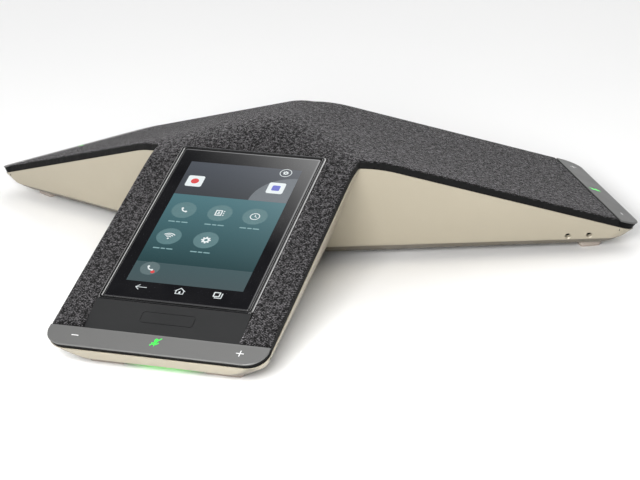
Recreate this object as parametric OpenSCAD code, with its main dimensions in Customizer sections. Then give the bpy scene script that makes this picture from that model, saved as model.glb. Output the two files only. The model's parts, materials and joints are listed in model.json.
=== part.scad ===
// Tabletop conference phone: three sloping legs at 120 degrees around a hub,
// a touch screen on the front leg and a touch bar across the end of every leg.
// The origin is on the table under the centre of the phone's outline.
// A leg's own frame has its origin on the hub axis, u along the leg, v across it.

/* [Body] */
// Distance from the hub axis to the end of each leg
leg_len = 193.2; // [180:0.1:210]
// Half of a leg's width
leg_half = 57.35; // [50:0.05:62]
// Fall of a leg's top for each millimetre along it
slope = 0.336; // [0.3:0.001:0.37]
// Height where the tops of the three legs would meet
apex_z = 80.9; // [76:0.1:86]
// Height of the soft crown over the hub
crown_z = 77.3; // [74:0.1:79]
// Plan radius of the corners at the end of a leg
tip_radius = 12; // [8:0.5:14]
// Depth of the fabric band down the side of the top
band = 4.3; // [3.6:0.1:6]

/* [Base] */
// Height of the flat underside above the table
base_z = 4.5; // [3.5:0.1:5]
// Inward lean of the side walls for each millimetre down
flank_lean = 0.4; // [0.35:0.01:0.45]
// Half of the underside's width at the hub axis
skirt_half = 20; // [18:0.1:22]
// Widening of half the underside for each millimetre along a leg
skirt_spread = 0.152; // [0.14:0.001:0.16]
// Inward lean of the skirt under the side walls for each millimetre down
skirt_lean = 1.55; // [1.4:0.01:1.7]
// Inward lean of the end walls for each millimetre down
end_lean = 0.94; // [0.8:0.01:1.1]
// Thickness of the base's walls
wall = 2.4; // [2:0.1:2.8]
// Thickness of the base's floor
floor_t = 2.5; // [2:0.1:3]

/* [Display] */
// Length of the screen's frame down the slope
frame_len = 129.2; // [125:0.1:133]
// Half of the width of the screen's frame
frame_half = 40.85; // [39:0.05:42]
// Distance down the slope from the apex to the frame
frame_start = 39.2; // [39:0.1:41]
// Height of the frame above the fabric
frame_rise = 1.0; // [0.6:0.1:1.4]
// Width of the frame's rim beside the glass
rim = 2.3; // [1.6:0.1:2.8]

/* [Leg ends] */
// Distance from the hub axis to the inner edge of a touch bar
bar_start = 180; // [178:0.1:182]
// Thickness of a touch bar
bar_t = 0.8; // [0.6:0.1:1.2]
// Distance of the minus and plus signs from the middle of a bar
sign_v = 43; // [40:0.5:45]

/* [Speaker] */
// Outer radius of the driver's flange
driver_r = 39.5; // [39:0.1:39.8]
// Height of the top of the driver's flange
driver_z = 56; // [55.8:0.1:56.1]
// Travel of the cone each way
cone_travel = 2.5; // [1:0.1:2.5]

/* [Hidden] */

$fn = 64;
big = 600;

// Turn of each leg about the hub
front = -90;
right = 30;
left = 150;
LEGS = [front, right, left];

// The outline's rear reach at a rounded leg end, which centres the origin
rear_reach = (leg_len - tip_radius) / 2 + (leg_half - tip_radius) * cos(30) + tip_radius;
hub_y = (leg_len - rear_reach) / 2;
slope_angle = atan(slope);

// Layers of the top, as vertical drops below the outer surface
fabric_t = 1.06;
shell_drop = 3.3;
ridge_cut = 2.65;
fabric_half = leg_half - 0.5;
carrier_half = fabric_half - 1;
carrier_wall = 2.2;
top_end = bar_start - 0.2;

// Floor and rim of the base
floor_z = base_z + floor_t;
rim_z = apex_z - band;

// Touch bar, end cap and touch board
cap_floor = 0.9;
board_drop = bar_t + 0.6;
board_t = 1;
sign_u = bar_start + 6.4;

// Feet and light bars
foot_u = 162.8;
foot_len = 12.7;
foot_half = 41;
foot_sink = 1;
glow_half = 21;
glow_t = 1.8;

// Microphone ports on each leg's clockwise side
mic_u = 151.8;
mic_z = 11.8;
mic_pitch = 11.9;
mic_r = 1.5;

// Case screws and their posts
screw_u = 150;
screw_v = 25;
boss_top = 12;

// Steeper plate between the screen and the front bar
chin_u = 160.35;
chin_rise = 0.9;
chin_angle = 25.9;
chin_len = 21.5;
chin_t = 1.6;

// Main board, in the frame of the hub
board_z = 9.5;
pcb_t = 1.6;
board_top = board_z + pcb_t;
board_hole = [[-27, 8], [27, 8], [-10, -20], [10, -20]];
port_y = 38;
port_face = port_y - 0.6;
jack_x = -16;
usb_a_x = 2;
usb_c_x = 16.5;
lock_x = 24.9;

// ---------------------------------------------------------------- helpers

// Everything behind the plane through p whose outward normal is n
module half_space(p, n)
    translate(p)
        rotate([0, acos(n.z / norm(n)), atan2(n.y, n.x)])
            translate([-big / 2, -big / 2, -big])
                cube(big);

// Places children in the frame of the leg turned by a
module at_leg(a)
    translate([0, hub_y, 0])
        rotate([0, 0, a])
            children();

// Places children in the frame of the hub
module at_hub()
    translate([0, hub_y, 0])
        children();

// Frame that lies on the front leg's top: x down the slope, z out of it
module on_slope()
    at_leg(front)
        translate([0, 0, apex_z])
            rotate([0, slope_angle, 0])
                children();

// Frame that lies on the chin plate: x down it, z out of it
module on_chin()
    at_leg(front)
        translate([chin_u, 0, apex_z - slope * chin_u + chin_rise])
            rotate([0, chin_angle, 0])
                children();

// Frame on the outside of a leg's clockwise wall, z pointing out of it
module at_flank(u, z)
    translate([u, -flank_at(u, z), z])
        rotate([0, acos(-flank_lean / norm(flank_normal(-1))),
            atan2(-1, -flank_lean * slope)])
            children();

function flank_at(u, z) = leg_half - flank_lean * (rim_z - slope * u - z);
function flank_normal(side) = [-flank_lean * slope, side, -flank_lean];

// Everything under the top surface lowered by a drop
module roof(drop)
    intersection() {
        at_leg(front) half_space([0, 0, apex_z - drop], [slope, 0, 1]);
        at_leg(right) half_space([0, 0, apex_z - drop], [slope, 0, 1]);
        at_leg(left) half_space([0, 0, apex_z - drop], [slope, 0, 1]);
        at_leg(front + 60) half_space([0, 0, apex_z - ridge_cut - drop], [slope / 2, 0, 1]);
        at_leg(right + 60) half_space([0, 0, apex_z - ridge_cut - drop], [slope / 2, 0, 1]);
        at_leg(left + 60) half_space([0, 0, apex_z - ridge_cut - drop], [slope / 2, 0, 1]);
        translate([-big / 2, -big / 2, crown_z - drop - big]) cube(big);
    }

// Outline of one leg with square ends
module strip(half, length)
    translate([0, -half])
        square([length, 2 * half]);

// Outline of one leg with rounded end corners
module rounded_strip(half, length, r) {
    strip(half, length - r);
    strip(half - r, length);
    for (side = [-1, 1])
        translate([length - r, side * (half - r)])
            circle(r);
}

// Three legs as an upright prism
module star(half, length)
    for (a = LEGS)
        at_leg(a)
            linear_extrude(100)
                strip(half, length);

module rounded_star(half, length, r)
    for (a = LEGS)
        at_leg(a)
            linear_extrude(100)
                rounded_strip(half, length, r);

// Layer between two drops that covers the end of the leg turned by a
module end_layer(a, half, length, r, start, upper, lower)
    intersection() {
        at_leg(a)
            linear_extrude(100)
                intersection() {
                    rounded_strip(half, length, r);
                    translate([start, -half]) square([length, 2 * half]);
                }
        at_leg(a) half_space([0, 0, apex_z - upper], [slope, 0, 1]);
        at_leg(a) half_space([0, 0, apex_z - lower], [-slope, 0, -1]);
    }

module rounded_plate(x, y, r, h)
    linear_extrude(h)
        rounded_rect(x, y, r);

module rounded_rect(x, y, r) {
    translate([0, -y / 2 + r]) square([x, y - 2 * r]);
    translate([r, -y / 2]) square([x - 2 * r, y]);
    for (cx = [r, x - r], cy = [r - y / 2, y / 2 - r])
        translate([cx, cy])
            circle(r);
}

module ring(outer, inner, z0, z1)
    translate([0, 0, z0])
        difference() {
            cylinder(r = outer, h = z1 - z0);
            translate([0, 0, -1]) cylinder(r = inner, h = z1 - z0 + 2);
        }

// ------------------------------------------------------------- base shell

// Everything between the plane through p with normal n and its mirror image, t inside both
module between(p, n, t)
    intersection() {
        half_space(p - t * n, n);
        mirror([0, 1, 0]) half_space(p - t * n, n);
    }

// One leg of the base, a distance t inside its outer faces
module tub(t) {
    root = leg_half - flank_lean * rim_z;
    skirt_n = [-skirt_spread, 1, -skirt_lean];
    intersection() {
        translate([-10, -100, -10]) cube([260, 200, 110]);
        between([0, root, 0], flank_normal(1) / norm(flank_normal(1)), t);
        between([0, skirt_half, base_z], skirt_n / norm(skirt_n), t);
        within_end(t);
    }
}

// Everything behind the leaning end of a leg, a distance t inside it
module within_end(t) {
    foot = leg_len - end_lean * (apex_z - bar_t - slope * leg_len);
    end_n = [1, 0, -end_lean] / norm([1, 0, -end_lean]);
    half_space([foot, 0, 0] - t * end_n, end_n);
}

// Everything above height z
module above(z)
    translate([-300, -300, z]) cube([600, 600, 150]);

module mic_holes()
    for (i = [0, 1])
        translate([0, i * mic_pitch, -wall - 3])
            rotate([0, 0, 20]) {
                cylinder(r = mic_r, h = wall + 6, $fn = 32);
                cylinder(r = 3.1, h = 3, $fn = 32);
            }

module base_shell()
    color("#c9bea6")
        difference() {
            union() {
                difference() {
                    base_body();
                    base_hollow();
                    port_bay();
                }
                for (a = LEGS, side = [-1, 1])
                    at_leg(a)
                        translate([screw_u, side * screw_v, floor_z - 1])
                            cylinder(r = 5.5, h = boss_top - floor_z + 1);
                for (p = board_hole)
                    at_hub()
                        translate([p.x, p.y, floor_z - 1])
                            cylinder(r = 2.6, h = board_z - floor_z + 1);
            }
            for (a = LEGS)
                at_leg(a) {
                    for (side = [-1, 1])
                        translate([screw_u, side * screw_v, 0]) {
                            cylinder(r = 1.7, h = 30);
                            cylinder(r = 3.3, h = base_z + 4);
                        }
                    translate([foot_u - 0.1, 0, 0])
                        rounded_plate(foot_len + 0.2, 2 * foot_half + 0.2, 2.5, base_z + foot_sink);
                    translate([foot_u + foot_len - glow_t - 0.1, -glow_half - 0.1, 0])
                        cube([glow_t + 0.2, 2 * glow_half + 0.2, floor_z + 1]);
                    at_flank(mic_u, mic_z) mic_holes();
                }
            at_hub() {
                for (p = board_hole)
                    translate([p.x, p.y, floor_z - 1]) cylinder(r = 1.05, h = 10, $fn = 32);
                translate([0, -12, base_z - 1])
                    rotate([0, 0, 90])
                        rounded_plate(40, 26, 3, 1.5);
            }
        }

// Narrow web down the crease between two legs, in a frame turned halfway between them
module web(t) {
    side_run = 1 / (sin(60) - flank_lean * slope * cos(60));
    side_n = [1, 0, -flank_lean * side_run];
    skirt_run = 1 / (sin(60) - skirt_spread * cos(60));
    skirt_n = [1, 0, -skirt_lean * skirt_run];
    intersection() {
        translate([0, -6, -10]) cube([90, 12, 110]);
        half_space([leg_half * side_run + 0.8, 0, rim_z] - t * side_n / norm(side_n), side_n);
        half_space([skirt_half * skirt_run + 2, 0, base_z] - t * skirt_n / norm(skirt_n), skirt_n);
    }
}

// The three legs, a distance t inside their outer faces
module leg_star(t) {
    at_leg(front) tub(t);
    at_leg(right) tub(t);
    at_leg(left) tub(t);
    at_leg(front + 60) web(t);
    at_leg(right + 60) web(t);
    at_leg(left + 60) web(t);
}

module base_body()
    intersection() {
        union() {
            leg_star(0);
            at_hub()
                translate([-31.5, 8, -10]) cube([63, port_y - 8, 38]);
        }
        above(base_z);
        rounded_star(leg_half + 0.05, leg_len + 0.05, tip_radius);
        roof(band);
    }

module base_hollow()
    difference() {
        intersection() {
            union() {
                leg_star(wall);
                at_hub()
                    translate([-29.2, 6, 0]) cube([58.4, port_y - 2.1 - 6, 26]);
            }
            above(floor_z);
        }
        at_hub()
            translate([-31, port_y - 2.1, 0]) cube([62, 60, 28]);
    }

// Pocket between the two rear legs where the plugs go in
module port_bay()
    at_hub()
        translate([-28.6, port_y - 5, 8.5])
            cube([57.2, 60, 17]);

// -------------------------------------------------------------- top shell

module top_shell()
    color("#2b2b2e")
        difference() {
            union() {
                carrier_skin();
                intersection() {
                    on_slope()
                        translate([frame_start - 2.1, -frame_half - 2, -9])
                            cube([200, 2 * frame_half + 4, 30]);
                    at_leg(front) translate([0, -60, 0]) cube([top_end, 120, 100]);
                    roof(fabric_t);
                }
                intersection() {
                    for (a = LEGS, side = [-1, 1])
                        at_leg(a)
                            translate([screw_u, side * screw_v, boss_top])
                                cylinder(r = 4, h = 30);
                    roof(shell_drop - 1);
                }
                intersection() {
                    at_hub() ring(39.6, 36.2, 58, 90);
                    roof(shell_drop - 1);
                }
            }
            on_slope()
                translate([frame_start - 0.1, -frame_half - 0.1, -7.1])
                    cube([(top_end - 1.4) / cos(slope_angle) - frame_start, 2 * frame_half + 0.2, 30]);
            difference() {
                at_leg(front)
                    translate([bar_start - 12, -frame_half - 0.3, 0])
                        cube([20, 2 * frame_half + 0.6, 60]);
                at_leg(front) half_space([0, 0, apex_z - 4.1], [slope, 0, 1]);
            }
            for (a = LEGS, side = [-1, 1])
                at_leg(a)
                    translate([screw_u, side * screw_v, boss_top - 1])
                        cylinder(r = 1.5, h = 8.5, $fn = 32);
            at_hub() {
                grille_holes();
                for (i = [0:3])
                    rotate([0, 0, 45 + 90 * i])
                        translate([37.8, 0, 57]) cylinder(r = 1.05, h = 6, $fn = 32);
            }
        }

// Thin carrier under the fabric, open at the seam with the base
module carrier_skin()
    difference() {
        intersection() {
            star(carrier_half, top_end);
            roof(fabric_t);
        }
        intersection() {
            star(carrier_half - carrier_wall, top_end - 1.4);
            roof(shell_drop);
        }
        roof(band);
    }

// Rings of sound holes over the driver
module grille_holes() {
    translate([0, 0, 60]) cylinder(r = 1.5, h = 30, $fn = 24);
    for (row = [1:5], i = [0:6 * row - 1])
        rotate([0, 0, i * 60 / row])
            translate([6 * row, 0, 60])
                cylinder(r = 1.5, h = 30, $fn = 24);
}

// ------------------------------------------------------------ fabric cover

module fabric_cover()
    color("#3a383b")
        difference() {
            intersection() {
                star(fabric_half, bar_start - 0.1);
                roof(0);
            }
            intersection() {
                star(carrier_half, leg_len);
                roof(fabric_t);
            }
            roof(band);
            on_slope()
                translate([frame_start - 0.2, -frame_half - 0.2, -20])
                    cube([200, 2 * frame_half + 0.4, 40]);
        }

// ---------------------------------------------------------------- leg ends

module touch_bar(a)
    color("#8b8b89")
        difference() {
            end_layer(a, leg_half, leg_len, tip_radius, bar_start, 0, bar_t);
            at_leg(a) signs(0.05);
        }

// Upright prisms of the minus, mute and plus signs, grown by a clearance
module signs(grow) {
    translate([sign_u, -sign_v, 0]) sign_bar(0.8, 5.2, grow);
    translate([sign_u, sign_v, 0]) {
        sign_bar(0.8, 5.2, grow);
        sign_bar(5.2, 0.8, grow);
    }
    translate([sign_u - 0.4, 0, 0]) {
        sign_bar(6.8, 2.6, grow);
        translate([0.9, 0, 0]) sign_bar(1, 5.2, grow);
    }
}

module sign_bar(x, y, grow)
    translate([-x / 2 - grow, -y / 2 - grow, 0])
        cube([x + 2 * grow, y + 2 * grow, 60]);

module touch_signs(a)
    color("#e8f4e8")
        intersection() {
            at_leg(a) signs(0);
            at_leg(a) half_space([0, 0, apex_z], [slope, 0, 1]);
            at_leg(a) half_space([0, 0, apex_z - board_drop], [-slope, 0, -1]);
        }

module end_cap(a)
    color("#161617")
        difference() {
            intersection() {
                end_layer(a, leg_half - 0.8, leg_len - 0.8, tip_radius - 0.8, bar_start, bar_t, band);
                at_leg(a) within_end(0.4);
            }
            intersection() {
                end_layer(a, leg_half - 3, leg_len - 3, tip_radius - 3, bar_start + 1.6,
                    0, band - cap_floor);
                at_leg(a) within_end(1.8);
            }
            at_leg(a) translate([bar_start + 2, -7, 0]) cube([6, 14, 60]);
        }

module touch_board(a)
    color("#1f4a35")
        end_layer(a, leg_half - 3.2, leg_len - 4.6, tip_radius - 3.2, bar_start + 1.8,
            board_drop, board_drop + board_t);

module foot(a)
    color("#b9ab98")
        at_leg(a)
            difference() {
                translate([foot_u, 0, 0])
                    rounded_plate(foot_len, 2 * foot_half, 2.5, base_z + foot_sink);
                translate([foot_u + foot_len - glow_t - 0.1, -glow_half - 0.1, -1])
                    cube([10, 2 * glow_half + 0.2, 20]);
            }

module glow_bar(a)
    color("#46d94e")
        at_leg(a)
            translate([foot_u + foot_len - glow_t, -glow_half, 0.8])
                cube([glow_t, 2 * glow_half, floor_z - 0.8]);

module mic_board(a)
    color("#1f4a35")
        at_leg(a)
            at_flank(mic_u, mic_z)
                difference() {
                    union() {
                        translate([-3.5, -5, -wall - 2.4]) cube([7, mic_pitch + 10, 1]);
                        for (i = [0, 1])
                            translate([-2, i * mic_pitch - 1.5, -wall - 3.5]) cube([4, 3, 1.2]);
                    }
                    for (i = [0, 1])
                        translate([0, i * mic_pitch, -wall - 2.8])
                            cylinder(r = 0.6, h = 3, $fn = 24);
                }

module mic_seals()
    color("#1c1c1c")
        for (a = LEGS, i = [0, 1])
            at_leg(a)
                at_flank(mic_u, mic_z)
                    translate([0, i * mic_pitch, 0])
                        ring(3, mic_r, -wall - 1.35, -wall - 0.05);

// Flat cable from the main board along the floor and up to the touch board
module ribbon(a) {
    start = a == front ? 19 : 31.4;
    last = bar_start + 7;
    lift = [[start, board_top + 0.1], [start + 8, board_top + 0.1], [start + 12, floor_z + 0.3],
        [168, floor_z + 1], [bar_start + 0.6, floor_z + 2.2],
        [bar_start + 4.6, apex_z - slope * (bar_start + 4.6) - board_drop - board_t - 0.9],
        [last, apex_z - slope * last - board_drop - board_t - 0.65]];
    up = [for (i = [len(lift) - 1:-1:0]) lift[i] + [0, 0.45]];
    color("#c9b98e")
        at_leg(a)
            translate([0, 5.5, 0])
                rotate([90, 0, 0])
                    linear_extrude(11)
                        polygon(concat(lift, up));
}

// ----------------------------------------------------------------- display

module display_frame()
    color("#4a4a4c")
        on_slope()
            difference() {
                translate([frame_start, 0, -7])
                    rounded_plate(frame_len, 2 * frame_half, 2.4, 7 + frame_rise);
                translate([frame_start + 2, 0, -0.3])
                    rounded_plate(frame_len - 4, 2 * frame_half - 2 * rim, 1.6, 10);
                translate([frame_start + 5.5, -35, -10]) cube([frame_len - 11, 70, 20]);
            }

module cover_glass()
    color("#0b0c0e")
        on_slope()
            translate([frame_start + 2.1, 0, -0.3])
                rounded_plate(frame_len - 4.2, 2 * frame_half - 2 * rim - 0.2, 1.5, 1.1);

module lcd_panel()
    color("#274a55")
        on_slope()
            translate([frame_start + 6, -34, -2.15]) cube([frame_len - 12, 68, 1.8]);

module backlight_tray()
    color("#b8babd")
        on_slope()
            difference() {
                translate([frame_start + 6, -34, -4.6]) cube([frame_len - 12, 68, 2.4]);
                translate([frame_start + 7, -33, -4]) cube([frame_len - 14, 66, 1.2]);
            }

module display_board()
    color("#1f4a35")
        on_slope() {
            translate([frame_start + 22, -28, -6.5]) cube([86, 56, 1]);
            for (i = [0:2])
                translate([frame_start + 34 + 22 * i, -9, -5.5]) cube([12, 12, 0.8]);
        }

// Plate below the glass, with a shallow rounded outline for the near-field coil
module chin_plate()
    color("#47474a")
        on_chin()
            difference() {
                translate([0, -frame_half, -chin_t]) cube([chin_len, 2 * frame_half, chin_t]);
                translate([5.4, 0, -0.25])
                    difference() {
                        rounded_plate(7.4, 28, 1.6, 1);
                        translate([0.35, 0, -1]) rounded_plate(6.7, 27.3, 1.3, 3);
                    }
            }

module near_field_coil()
    color("#b0703c")
        on_chin()
            difference() {
                translate([4.6, 0, -chin_t - 0.45]) rounded_plate(9, 30, 2, 0.35);
                translate([6.4, 0, -chin_t - 1]) rounded_plate(5.4, 26.4, 1, 2);
            }

// ----------------------------------------------------------------- speaker

module speaker_basket()
    color("#26282b")
        at_hub()
            difference() {
                rotate_extrude()
                    polygon([[15.6, 37.5], [18, 37.5], [18, 40.6], [24.6, 43], [35.8, 53],
                        [driver_r, 53], [driver_r, driver_z], [35, driver_z], [35, 53.4],
                        [23, 44.6], [23, 43.3], [19.8, 43.3], [15.6, 41.6]]);
                for (i = [0:3])
                    rotate([0, 0, 90 * i]) {
                        translate([25, -9, 44.5]) cube([9, 18, 7]);
                        rotate([0, 0, 45])
                            translate([37.8, 0, 50]) cylinder(r = 1.2, h = 10, $fn = 24);
                    }
            }

module speaker_yoke()
    color("#9a9ca0")
        at_hub()
            difference() {
                translate([0, 0, 33]) cylinder(r = 15.5, h = 9);
                translate([0, 0, 35.5]) cylinder(r = 13, h = 9);
            }

module speaker_magnet()
    color("#3c3e42")
        at_hub()
            translate([0, 0, 35.5]) cylinder(r = 10.6, h = 4.5);

module pole_plate()
    color("#9a9ca0")
        at_hub()
            translate([0, 0, 40]) cylinder(r = 10.6, h = 2.2);

module voice_coil()
    color("#b0703c")
        at_hub()
            ring(12.3, 11.2, 36 + cone_travel, 47);

module speaker_cone()
    color("#1d1d1f")
        at_hub()
            rotate_extrude()
                polygon([[12.35, 45.2], [12.35, 46.4], [28.3, 55.8], [30.2, 55.8], [30.2, 54.9],
                    [28.6, 54.9]]);

module dust_cap()
    color("#141415")
        at_hub()
            intersection() {
                translate([0, 0, 31.23])
                    difference() {
                        sphere(r = 20);
                        sphere(r = 19.4);
                    }
                translate([0, 0, 47]) cylinder(r = 30, h = 10);
            }

module speaker_surround()
    color("#2a2a2a")
        at_hub()
            rotate_extrude() {
                intersection() {
                    translate([32.6, driver_z])
                        difference() {
                            circle(2.35);
                            circle(1.85);
                        }
                    translate([20, driver_z]) square([20, 10]);
                }
                translate([30.25, 55]) square([0.5, 1]);
                translate([34.45, driver_z]) square([1.55, 0.5]);
            }

module speaker_spider()
    color("#b79b54")
        at_hub()
            rotate_extrude()
                polygon([[12.35, 43.9], [14, 43.4], [16, 44.4], [18, 43.4], [19.8, 44.2],
                    [20.2, 43.4], [22.8, 43.4], [22.8, 44], [20.6, 44], [19.8, 44.8],
                    [18, 44], [16, 45], [14, 44], [12.35, 44.5]]);

module speaker_gasket()
    color("#1c1c1c")
        at_hub()
            difference() {
                ring(39.4, 36.1, driver_z, 58);
                for (i = [0:3])
                    rotate([0, 0, 45 + 90 * i])
                        translate([37.8, 0, 50]) cylinder(r = 1.2, h = 10, $fn = 24);
            }

// -------------------------------------------------------------- electronics

module main_board()
    color("#1f4a35")
        at_hub()
            difference() {
                translate([0, 0, board_z])
                    linear_extrude(pcb_t)
                        polygon([[-13, -24], [13, -24], [13, -9], [27, 0.5], [29, 14], [29, 35.6],
                            [-29, 35.6], [-29, 14], [-27, 0.5], [-13, -9]]);
                for (p = board_hole)
                    translate([p.x, p.y, board_z - 1]) cylinder(r = 1.3, h = 5, $fn = 32);
            }

module shield_can()
    color("#b8babd")
        at_hub()
            difference() {
                translate([-12, -14, board_top]) cube([24, 20, 3]);
                translate([-11.7, -13.7, board_top - 1]) cube([23.4, 19.4, 3.7]);
            }

module board_parts()
    color("#303338")
        at_hub() {
            translate([-23, 9, board_top]) cube([9, 6.5, 8]);
            translate([-10, 7, board_top]) cube([8, 8, 4]);
            translate([20, 17, board_top]) cylinder(r = 4, h = 10);
            translate([11, 16, board_top]) cylinder(r = 4, h = 10);
            translate([-5, 19.5, board_top]) cube([6, 3, 2]);
        }

module jack_shell()
    color("#b8babd")
        at_hub()
            translate([jack_x, 0, board_top])
                difference() {
                    translate([-8, 16, 0]) cube([16, port_face - 16, 13.5]);
                    translate([-7.7, 16.3, 0.3]) cube([15.4, 30, 12.9]);
                }

module jack_insert()
    color("#1a1a1b")
        at_hub()
            translate([jack_x, 0, board_top]) {
                difference() {
                    translate([-7.65, 16.4, 0.35]) cube([15.3, port_face - 16.6, 12.8]);
                    translate([-6, port_face - 13, 2.4]) cube([12, 20, 8.2]);
                    translate([-3, port_face - 13, 1.2]) cube([6, 20, 4]);
                }
                for (i = [0:7])
                    translate([1.02 * (i - 3.5) - 0.2, port_face - 12, 9.8]) cube([0.4, 10, 0.8]);
            }

module usb_a_shell()
    color("#c4c6c8")
        at_hub()
            translate([usb_a_x, 0, board_top])
                difference() {
                    translate([-6.6, 23, 0]) cube([13.2, port_face - 23, 5.8]);
                    translate([-6.25, 23.4, 0.35]) cube([12.5, 30, 5.1]);
                }

module usb_c_shell()
    color("#c4c6c8")
        at_hub()
            translate([usb_c_x, 29.5, board_top + 1.65])
                rotate([-90, 0, 0])
                    difference() {
                        stadium(8.94, 3.26, port_face - 29.5);
                        translate([0, 0, 0.4]) stadium(8.34, 2.66, 20);
                    }

module stadium(w, h, depth)
    linear_extrude(depth) {
        square([w - h, h], center = true);
        for (side = [-1, 1])
            translate([side * (w - h) / 2, 0])
                circle(h / 2);
    }

module usb_tongues()
    color("#1a1a1b")
        at_hub() {
            translate([usb_a_x - 5.5, 23.5, board_top + 3.2]) cube([11, 12.6, 1.9]);
            translate([usb_c_x - 3.2, 30, board_top + 1.3]) cube([6.4, 6.2, 0.7]);
        }

module port_panel()
    color("#1a1a1b")
        at_hub()
            difference() {
                translate([-28.5, port_y - 1.8, 8.6]) cube([57, 1.5, 16.8]);
                translate([jack_x - 8.1, 30, 8.7 + 2.3]) cube([16.2, 20, 13.7]);
                translate([usb_a_x - 6.7, 30, board_top - 0.1]) cube([13.4, 20, 6]);
                translate([usb_c_x, 30, board_top + 1.65])
                    rotate([-90, 0, 0]) stadium(9.2, 3.5, 20);
                translate([lock_x - 1.5, 30, 13]) cube([3, 20, 7]);
            }

module lock_plate()
    color("#8d9093")
        at_hub()
            difference() {
                translate([lock_x - 3.6, port_y - 3.2, board_top + 0.1]) cube([7.2, 1.2, 12]);
                translate([lock_x - 1.5, 30, 13]) cube([3, 20, 7]);
            }

module wifi_antennas()
    color("#1f4a35")
        for (a = [right, left])
            at_leg(a)
                translate([62, 20, floor_z]) cube([32, 0.8, 9]);

// Two taut wires from the main board up to the driver's terminals
module speaker_lead()
    color("#8c2f2b")
        at_hub()
            for (y = [0, 2])
                translate([21, y, board_top])
                    cylinder(r = 0.6, h = 30, $fn = 24);

// ---------------------------------------------------------------- fasteners

module screw(head_r, head_h, shaft_r, shaft_h)
    difference() {
        union() {
            translate([0, 0, -head_h]) cylinder(r = head_r, h = head_h, $fn = 32);
            cylinder(r = shaft_r, h = shaft_h, $fn = 32);
        }
        translate([0, 0, -head_h - 1]) cylinder(r = head_r * 0.45, h = 1 + head_h * 0.6, $fn = 6);
    }

module case_screws()
    color("#6f7274")
        for (a = LEGS, side = [-1, 1])
            at_leg(a)
                translate([screw_u, side * screw_v, base_z + 4])
                    screw(2.8, 2, 1.45, 10);

module board_screws()
    color("#6f7274")
        for (p = board_hole)
            at_hub()
                translate([p.x, p.y, board_top])
                    mirror([0, 0, 1])
                        screw(2.2, 1.4, 1, 4.4);

module speaker_screws()
    color("#6f7274")
        for (i = [0:3])
            at_hub()
                rotate([0, 0, 45 + 90 * i])
                    translate([37.8, 0, 53])
                        screw(1.9, 1.3, 1, 9);

// ----------------------------------------------------------------- assembly

base_shell();
top_shell();
fabric_cover();
touch_bar(front);  // front_touch_bar
touch_bar(right);  // right_touch_bar
touch_bar(left);  // left_touch_bar
end_cap(front);  // front_end_cap
end_cap(right);  // right_end_cap
end_cap(left);  // left_end_cap
touch_board(front);  // front_touch_board
touch_board(right);  // right_touch_board
touch_board(left);  // left_touch_board
touch_signs(front);  // front_touch_signs
touch_signs(right);  // right_touch_signs
touch_signs(left);  // left_touch_signs
foot(front);  // front_foot
foot(right);  // right_foot
foot(left);  // left_foot
glow_bar(front);  // front_glow_bar
glow_bar(right);  // right_glow_bar
glow_bar(left);  // left_glow_bar
mic_board(front);  // front_mic_board
mic_board(right);  // right_mic_board
mic_board(left);  // left_mic_board
ribbon(front);  // front_ribbon
ribbon(right);  // right_ribbon
ribbon(left);  // left_ribbon
mic_seals();
display_frame();
cover_glass();
lcd_panel();
backlight_tray();
display_board();
chin_plate();
near_field_coil();
speaker_basket();
speaker_yoke();
speaker_magnet();
pole_plate();
voice_coil();
speaker_cone();
dust_cap();
speaker_surround();
speaker_spider();
speaker_gasket();
main_board();
shield_can();
board_parts();
jack_shell();
jack_insert();
usb_a_shell();
usb_c_shell();
usb_tongues();
port_panel();
lock_plate();
wifi_antennas();
speaker_lead();
case_screws();
board_screws();
speaker_screws();
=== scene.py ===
"""Looks of a three-legged tabletop conference phone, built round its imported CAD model.

All of the object's sizes below are in millimetres. A leg's own frame has its origin on the hub
axis, u along the leg and v across it, to the left of someone who looks outwards.
"""

import json
import math

import bmesh
import bpy
import numpy as np
from mathutils import Matrix, Vector


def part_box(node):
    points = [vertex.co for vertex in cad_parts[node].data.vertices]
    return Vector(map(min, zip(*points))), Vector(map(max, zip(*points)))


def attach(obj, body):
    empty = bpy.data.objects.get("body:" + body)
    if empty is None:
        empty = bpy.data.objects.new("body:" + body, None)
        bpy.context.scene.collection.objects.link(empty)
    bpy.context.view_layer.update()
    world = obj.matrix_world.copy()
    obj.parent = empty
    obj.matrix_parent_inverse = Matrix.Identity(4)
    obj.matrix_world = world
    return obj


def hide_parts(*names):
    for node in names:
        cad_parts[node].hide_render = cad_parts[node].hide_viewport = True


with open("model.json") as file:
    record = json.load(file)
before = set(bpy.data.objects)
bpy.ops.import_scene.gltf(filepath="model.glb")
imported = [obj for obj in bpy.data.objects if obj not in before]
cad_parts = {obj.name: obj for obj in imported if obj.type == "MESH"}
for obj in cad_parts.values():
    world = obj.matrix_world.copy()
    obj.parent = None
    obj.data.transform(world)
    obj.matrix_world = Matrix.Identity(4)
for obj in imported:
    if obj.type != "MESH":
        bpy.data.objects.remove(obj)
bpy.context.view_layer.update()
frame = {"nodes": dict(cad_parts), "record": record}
NODES = frame["nodes"]
MM = 0.001

# ---------- driving sizes


def box_mm(node):
    low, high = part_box(node)
    return low / MM, high / MM


LEGS = {"front": -90, "right": 30, "left": 150}
HUB_Y = sum(corner.y for corner in box_mm("speaker_magnet")) / 2
LEG_LEN = HUB_Y - box_mm("front_touch_bar")[0].y
LEG_HALF = box_mm("front_touch_bar")[1].x
BAR_START = HUB_Y - box_mm("front_touch_bar")[1].y
BASE_Z = box_mm("base_shell")[0].z
FOOT_OUT = HUB_Y - box_mm("front_foot")[0].y
FOOT_IN = HUB_Y - box_mm("front_foot")[1].y
FOOT_HALF = box_mm("front_foot")[1].x
GLOW_HALF = box_mm("front_glow_bar")[1].x

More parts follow.
